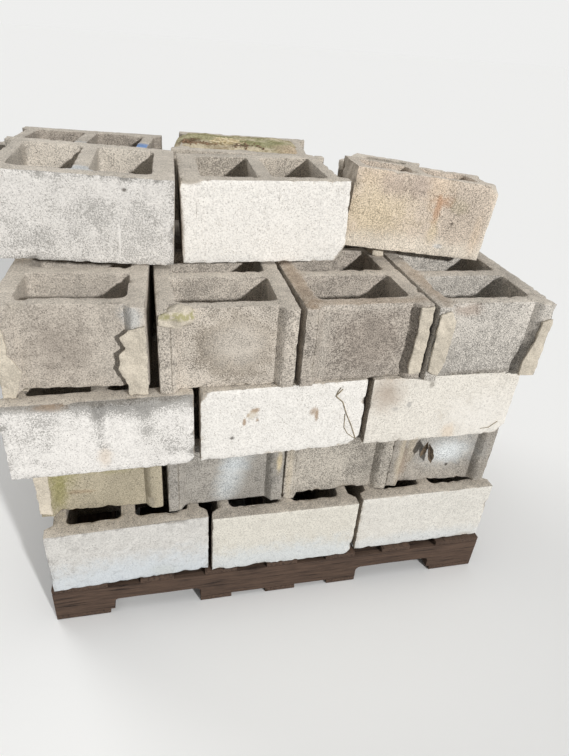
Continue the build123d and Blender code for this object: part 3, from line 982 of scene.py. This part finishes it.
def build_soil(places):
    """Soil, moss and straw on the top block whose cells have filled."""
    place = places[(5, "back")][1]
    finish = soil_finish()
    plugs = solids_of("soil_in_cells")
    for number, plug in enumerate(plugs):
        lump_up(plug, SOIL_MESH, SOIL_BULGE, 51 + number)
        write_spot(plug, place, place.to_block(points(plug)))
    front = place.unit.shell - 0.012 - place.half
    mound, local = new_mound((-0.197, front), (0.175, place.half - 0.02), 61)
    write_spot(mound, place, local)
    reshape(mound, place.to_stack(local))
    smooth(mound, 60)
    dress(join([*plugs, mound], "soil_and_moss"), finish, "soil", "soil_in_cells")
    chance = Random(8)
    straws = []
    for number in range(STRAWS):
        across = chance.gauss(-0.05, 0.02)
        up = BLOCK_HEIGHT + chance.uniform(0.006, 0.013)
        spot = place.front_point(across, up, chance.gauss(0.115, 0.02))
        turn = (pi / 2 + chance.gauss(0, 0.14), 0, chance.uniform(0, pi))
        size = (STRAW_RADIUS, STRAW_RADIUS, chance.uniform(0.025, 0.06))
        straws.append(new_bit(f"straw_{number}", "stalk", spot, size, turn))
    straw = plain_finish("straw", linear(204, 188, 150), linear(236, 224, 196), 0.01, 0.8)
    dress(join(straws, "straw"), straw, "soil", "soil_in_cells")
    crumbs = []
    for number in range(CRUMBS):
        middle, spread = chance.choice(((-0.155, 0.02), (-0.12, 0.03), (-0.005, 0.016), (0.02, 0.02)))
        across = max(-0.17, chance.gauss(middle, spread))
        spot = place.front_point(across, BLOCK_HEIGHT + 0.005, chance.gauss(0.1, 0.024))
        size = (chance.uniform(0.002, 0.007), chance.uniform(0.0015, 0.004), chance.uniform(0.0012, 0.0025))
        turn = (chance.gauss(0, 0.4), chance.gauss(0, 0.4), chance.uniform(0, pi))
        crumbs.append(new_bit(f"crumb_{number}", "lump", spot, size, turn))
    litter = plain_finish("leaf_litter", linear(104, 82, 64), linear(148, 122, 98), 0.01)
    dress(join(crumbs, "leaf_litter"), litter, "soil", "soil_in_cells")


def new_vine(name, place, path, thickness):
    """A dry stem that clings to a block's front, through points measured across and up."""
    stems = []
    for number, (start, end) in enumerate(zip(path, path[1:])):
        a = place.front_point(*start, -VINE_GAP)
        b = place.front_point(*end, -VINE_GAP)
        turn = (b - a).to_track_quat("Z", "Y").to_euler()
        size = (thickness, thickness, (b - a).length + thickness)
        stems.append(new_bit(f"{name}_{number}", "stalk", (a + b) / 2, size, turn))
    return stems


def new_leaf(name, place, middle, size, turn):
    """A dry leaf: a plane drawn to a point at both ends, folded along its rib and given a thickness."""
    bpy.ops.mesh.primitive_plane_add(size=1)
    leaf = bpy.context.object
    with edited(leaf):
        bpy.ops.mesh.subdivide(number_cuts=7)
    p = points(leaf)
    p[:, 0] *= size[0] * np.clip(1.05 - abs(2 * p[:, 1]) ** 1.3, 0.05, 1) * (1 + 0.5 * ripple(p, 0.22, 5))
    p[:, 2] = abs(p[:, 0]) * 0.8 + 0.15 * size[1] * (2 * p[:, 1]) ** 2 * 0.4
    p[:, 1] *= size[1]
    reshape(leaf, p)
    use_modifier(leaf, "SOLIDIFY", thickness=LEAF_THICKNESS)
    turned = Matrix.Rotation(turn[0], 4, "Y") @ Matrix.Rotation(turn[1], 4, "X")
    leaf.matrix_world = Matrix.Translation(place.front_point(*middle)) @ turned
    take(leaf)
    return settle(name)


def build_dry_plants(places):
    """A dry vine on the third course and a dead leaf caught on the second."""
    stems = []
    for name, (index, thickness, path) in VINES.items():
        stems += new_vine(name, places[(3, "front")][index], path, thickness)
    stem = plain_finish("dry_stem", linear(128, 116, 94), linear(172, 158, 132), 0.01)
    dress(join(stems, "dry_vine"), stem, "soil")
    under = places[(2, "front")][3]
    leaves = [new_leaf("leaf_a", under, (-0.059, 0.131, 0.002), (0.017, 0.056), (0.18, pi / 2 + 0.1)),
              new_leaf("leaf_b", under, (-0.04, 0.117, 0.0), (0.019, 0.078), (-0.3, pi / 2 + 0.08))]
    leaf = plain_finish("dead_leaf", linear(76, 66, 56), linear(130, 114, 94), 0.012, 0.8)
    dress(join(leaves, "dead_leaf"), leaf, "soil")


def weather(piece, axis, cuts, size, seed):
    """Cuts a piece of wood across its length and draws its faces in where the soft grain has worn."""
    low, high = extent(piece)
    cut_planes(piece, even_cuts(low[axis], high[axis], cuts, axis))
    p = points(piece)
    squeezed = np.ones(3)
    squeezed[axis] = 0.2
    grain = WOOD_RELIEF * ripple(p * squeezed, size, seed) - WOOD_RELIEF
    reshape(piece, p + outward(piece) * grain[:, None])
    smooth(piece)


def build_pallet():
    """Boards and stringers of the pallet."""
    across = wood_finish("board_wood", 1)
    lengthways = wood_finish("stringer_wood", 0)
    for node in ("deck_boards", "bottom_boards"):
        made = []
        solids = solids_of(node)
        for number, solid in enumerate(solids):
            low, high = extent(solid)
            board = new_box(f"{node}_{number}", high - low, (low + high) / 2)
            with edited(board):
                bpy.ops.mesh.bevel(offset=BOARD_BEVEL, segments=2)
            weather(board, 1, BOARD_CUTS, 0.012, 71 + number)
            made.append(board)
        discard(solids)
        dress(join(made, node + "_weathered"), across, "pallet_wood", node)
    runners = solids_of("stringers")
    for number, runner in enumerate(runners):
        with edited(runner):
            bpy.ops.mesh.dissolve_limited(angle_limit=radians(1))
        use_modifier(runner, "BEVEL", width=STRINGER_BEVEL, segments=2, limit_method="ANGLE")
        weather(runner, 0, STRINGER_CUTS, 0.014, 91 + number)
    dress(join(runners, "stringers_weathered"), lengthways, "pallet_wood", "stringers")


def new_lamp(name, strength, spread, way):
    """A lamp at a great distance, as wide as spread in degrees, that shines one way."""
    lamp = bpy.data.lights.new(name, "SUN")
    lamp.energy = strength
    lamp.angle = radians(spread)
    holder = bpy.data.objects.new(name, lamp)
    bpy.context.collection.objects.link(holder)
    holder.rotation_euler = Vector(way).to_track_quat("-Z", "Y").to_euler()


def set_light():
    """Plain light: a pale world, a low lamp from the front, a wide one above, and one behind."""
    world = bpy.data.worlds.new("studio")
    bpy.context.scene.world = world
    nodes = Nodes(world)
    strength = nodes.node("ShaderNodeMix", sockets={0: nodes.seen(), 2: WORLD_LIGHT, 3: BACKGROUND})
    sockets = {"Color": (1, 1, 0.99, 1), "Strength": strength}
    nodes.end("ShaderNodeBackground", "ShaderNodeOutputWorld", sockets)
    for name, lamp in LAMPS.items():
        new_lamp(name, *lamp)


def set_stage():
    """A pale floor that keeps the stack's shadow."""
    bpy.ops.object.select_all(action="DESELECT")
    bpy.ops.mesh.primitive_plane_add(size=FLOOR_WIDTH, location=(0, 0, -FLOOR_DROP))
    floor = bpy.context.object
    floor.name = "floor"
    material = bpy.data.materials.new("pale_floor")
    nodes = Nodes(material)
    lit = (FLOOR_LIGHT, FLOOR_LIGHT, FLOOR_LIGHT, 1)
    shown = (FLOOR_SHOWN, FLOOR_SHOWN, FLOOR_SHOWN * 0.99, 1)
    colour = nodes.mix(nodes.seen(), lit, shown)
    sockets = {"Base Color": colour, "Roughness": 0.9, "Specular IOR Level": 0.0}
    nodes.end("ShaderNodeBsdfPrincipled", "ShaderNodeOutputMaterial", sockets)
    floor.data.materials.append(material)


def set_camera():
    """The viewpoint of the photograph."""
    yaw, pitch, roll = (radians(a) for a in (CAMERA_YAW, CAMERA_PITCH, CAMERA_ROLL))
    ahead = Vector((sin(yaw) * cos(pitch), cos(yaw) * cos(pitch), -sin(pitch)))
    level = Vector((cos(yaw), -sin(yaw), 0))
    down = ahead.cross(level)
    right = cos(roll) * level + sin(roll) * down
    below = cos(roll) * down - sin(roll) * level
    lens = bpy.data.cameras.new("camera")
    lens.sensor_width = SENSOR
    lens.lens = SENSOR * FOCAL_PIXELS / PICTURE_HEIGHT
    camera = bpy.data.objects.new("camera", lens)
    bpy.context.collection.objects.link(camera)
    turn = Matrix((right, -below, -ahead)).transposed()
    camera.matrix_world = Matrix.Translation(CAMERA_PLACE) @ turn.to_4x4()
    bpy.context.scene.camera = camera


places = build_blocks()
build_mortar(places)
build_soil(places)
build_dry_plants(places)
build_pallet()
set_stage()
set_light()
set_camera()
bpy.context.scene.view_settings.view_transform = "Standard"
